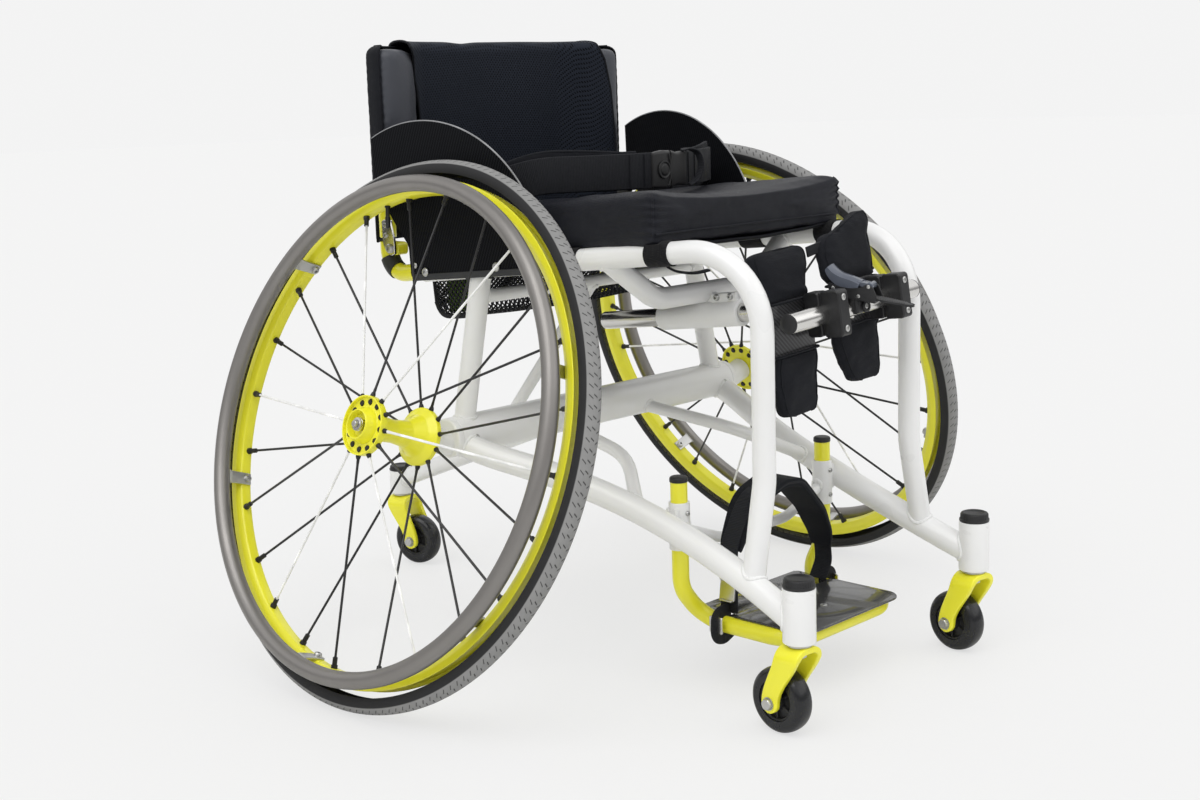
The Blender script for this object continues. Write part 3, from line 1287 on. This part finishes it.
end = BUCKLE_HALF + BUCKLE_OVERLAP
prong = buckle_block("buckle_prong", -end, -GAP, half_y, half_z, right_belt_slide)
tongue_size = (TONGUE_HALF_THICKNESS, TONGUE_HALF_HEIGHT)
tongue = buckle_block("buckle_tongue", -BUCKLE_OVERLAP, TONGUE_LENGTH, *tongue_size, right_belt_slide)
join(right_belt, prong, tongue)
socket = buckle_block("buckle_socket", 0, end, half_y, half_z, chair)
mouth_size = (TONGUE_HALF_THICKNESS + GAP, TONGUE_HALF_HEIGHT + GAP)
mouth_end = TONGUE_LENGTH + BUCKLE_PROUD
mouth = buckle_block("buckle_mouth", -BUCKLE_OVERLAP, mouth_end, *mouth_size, chair)
join(left_belt, socket)
cut(left_belt, mouth)

# The backrest: stubs in the seat tubes, and posts that turn on them.
back = empty("back_hinge", chair, Matrix.Translation((0, HINGE_Y, HINGE_Z)))


def in_back(x, y, z):
    return Vector((x, y - HINGE_Y, z - HINGE_Z))


STUB_TOP_Z = HINGE_Z + STUB_ABOVE_HINGE
POST_BOTTOM_Z = STUB_TOP_Z + HINGE_ROOM
LUG_SIZE = 0.009
for side_name, side in SIDES.items():
    bend = seat_point(side, POST_Y)
    stub_points = [
        seat_point(side, POST_SOCKET_Y + STEM_RADIUS),
        seat_point(side, SEAT_REAR_Y + 0.012),
        Vector((side * POST_X, POST_Y, bend.z)),
        (side * POST_X, POST_Y, STUB_TOP_Z),
    ]
    stub_path = rounded(stub_points, [0.020, 0.030])
    stub_mesh = swept("back_stub", stub_path, circle(POST_RADIUS, 12))
    stub = piece(f"{side_name}_back_stub", stub_mesh, YELLOW, chair)
    outer = side * (POST_X + POST_RADIUS - LUG_INSET)
    inner = side * (POST_X - POST_RADIUS + LUG_INSET)
    lug_low = (min(outer, inner), HINGE_Y - LUG_SIZE, HINGE_Z - LUG_SIZE)
    lug_high = (max(outer, inner), POST_Y, STUB_TOP_Z)
    lug = block("hinge_lug", lug_low, lug_high)
    hole_ends = [(inner * 0.9, HINGE_Y, HINGE_Z), (outer * 1.1, HINGE_Y, HINGE_Z)]
    hole = rod("hinge_hole", *hole_ends, HINGE_PIN_RADIUS + GAP, 10, True)
    join(stub, tool(f"{side_name}_hinge_lug", lug, chair))
    cut(stub, tool(f"{side_name}_hinge_hole", hole, chair))

    post_ends = [in_back(side * POST_X, POST_Y, POST_BOTTOM_Z), in_back(side * POST_X, POST_Y, POST_TOP_Z)]
    post = rod("back_post", *post_ends, POST_RADIUS, 12)
    made = piece(f"{side_name}_back_post", post, YELLOW, back)
    face = POST_X + POST_RADIUS + GAP
    middle = face + HINGE_PLATE / 2
    low_x, high_x = sorted((side * face, side * (face + HINGE_PLATE)))
    plate_low = in_back(low_x, HINGE_Y - LUG_SIZE, HINGE_Z - LUG_SIZE)
    plate_high = in_back(high_x, POST_Y + 0.006, POST_BOTTOM_Z + HINGE_PLATE_RISE)
    low_x, high_x = sorted((side * (POST_X + 0.003), side * middle))
    bridge_low = in_back(low_x, POST_Y - 0.007, POST_BOTTOM_Z + 0.003)
    bridge_high = in_back(high_x, POST_Y + 0.005, POST_BOTTOM_Z + HINGE_PLATE_RISE - 0.001)
    pin_ends = [in_back(side * x, HINGE_Y, HINGE_Z) for x in (POST_X - 0.007, middle)]
    pin = rod("hinge_pin", *pin_ends, HINGE_PIN_RADIUS, 10)
    head_top = face + HINGE_PLATE + HINGE_HEAD_HEIGHT
    head_ends = [in_back(side * x, HINGE_Y, HINGE_Z) for x in (middle, head_top)]
    nut = rod("hinge_head", *head_ends, HINGE_HEAD_RADIUS, 10)
    join(
        made,
        tool(f"{side_name}_hinge_bridge", block("hinge_bridge", bridge_low, bridge_high), back),
        tool(f"{side_name}_hinge_plate", block("hinge_plate", plate_low, plate_high), back),
        tool(f"{side_name}_hinge_pin", pin, back),
        tool(f"{side_name}_hinge_head", nut, back),
    )


def back_outline():
    """The upholstery from above: a padded centre with a bolster round each post."""
    rear = [(0.0, 0.212), (0.120, 0.210), (0.168, 0.201), (0.194, 0.183)]
    side = [(BACK_OUTER_X - 0.0010, 0.1700), (BACK_OUTER_X, 0.1520)]
    bolster = [(0.2045, 0.1380), (0.190, BOLSTER_FRONT_Y), (0.172, 0.1480)]
    front = [(0.150, 0.1680), (0.120, 0.1800), (0.0, 0.1860)]
    left = rear + side + bolster + front
    return left + [(-x, y) for x, y in reversed(left[1:-1])]


def upholstery():
    lower = [(BACK_BOTTOM_Z, BACK_EASE), (BACK_BOTTOM_Z + BACK_HEM, 1.0)]
    shoulder = [(BACK_TOP_Z - BACK_SHOULDER, 1.0), (BACK_TOP_Z - BACK_HEM, BACK_EASE)]
    upper = shoulder + [(BACK_TOP_Z, BACK_TOP_EASE)]
    levels = lower + upper
    rings = [[in_back(x * wide, y, z) for x, y in back_outline()] for z, wide in levels]
    made = piece("back_upholstery", loft("back_upholstery", rings), FABRIC, back)
    for side_name, side in SIDES.items():
        xs = sorted((side * CORNER_CLEAR_X, side * (BACK_OUTER_X + CUT_REACH)))
        low = in_back(xs[0], BOLSTER_FRONT_Y - CUT_REACH, BACK_BOTTOM_Z - CUT_REACH)
        high = in_back(xs[1], POST_Y + POST_RADIUS + 2 * GAP, BOLSTER_BOTTOM_Z)
        clear = tool(f"{side_name}_bolster_clear", block("bolster_clear", low, high), back)
        pocket_ends = [in_back(side * POST_X, POST_Y, z) for z in (HINGE_Z, POST_TOP_Z + GAP)]
        pocket = rod("post_pocket", *pocket_ends, POST_RADIUS + GAP, 12, True)
        cut(made, clear, tool(f"{side_name}_post_pocket", pocket, back))


upholstery()
